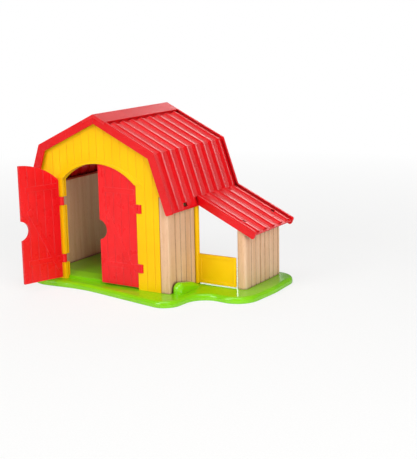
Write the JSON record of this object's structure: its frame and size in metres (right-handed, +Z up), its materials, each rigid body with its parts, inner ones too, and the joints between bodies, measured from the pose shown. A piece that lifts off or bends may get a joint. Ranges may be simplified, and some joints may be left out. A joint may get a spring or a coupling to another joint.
{
  "type": "toy barn",
  "caption": "Toy barn with a gambrel roof, arched double doors, beech side boards, a gated lean-to and a wavy grass base.",
  "frame": {"origin": "on the ground, below the middle of the front wall's face", "axes": "+X to the right seen from the front, towards the lean-to; +Y to the back; +Z up"},
  "size_m": [0.275, 0.1947, 0.195],
  "materials": {
    "grass_plastic": "glossy green moulded ABS",
    "yellow_plastic": "satin yellow moulded ABS",
    "red_plastic": "satin red moulded ABS",
    "beech": "sanded clear-lacquered beech",
    "zinc_steel": "zinc-plated steel"
  },
  "bodies": {
    "barn": {"grass_base": "grass_plastic", "front_wall": "yellow_plastic", "left_wall_board": "beech", "right_wall_board": "beech", "lean_to_wall_board": "beech", "left_roof": "red_plastic", "right_roof": "red_plastic", "ridge_cap": "red_plastic", "left_board_screws": "zinc_steel", "right_board_screws": "zinc_steel", "lean_to_board_screws": "zinc_steel", "front_wall_screws": "zinc_steel"},
    "left_leaf": {"left_door": "red_plastic"},
    "right_leaf": {"right_door": "red_plastic"},
    "gate": {"lean_to_gate": "yellow_plastic"}
  },
  "joints": [
    {"name": "left_door_hinge", "type": "hinge", "parent": "barn", "child": "left_leaf", "pos_m": [-0.0532, 0.0018, 0.0633], "axis": [0, 0, 1], "range_deg": [-12, 108]},
    {"name": "right_door_hinge", "type": "hinge", "parent": "barn", "child": "right_leaf", "pos_m": [0.0532, 0.0018, 0.0633], "axis": [0, 0, 1], "range_deg": [0, 120]},
    {"name": "gate_hinge", "type": "hinge", "parent": "barn", "child": "gate", "pos_m": [0.0909, 0.0545, 0.0233], "axis": [0, 0, 1], "range_deg": [-15, 90]}
  ]
}
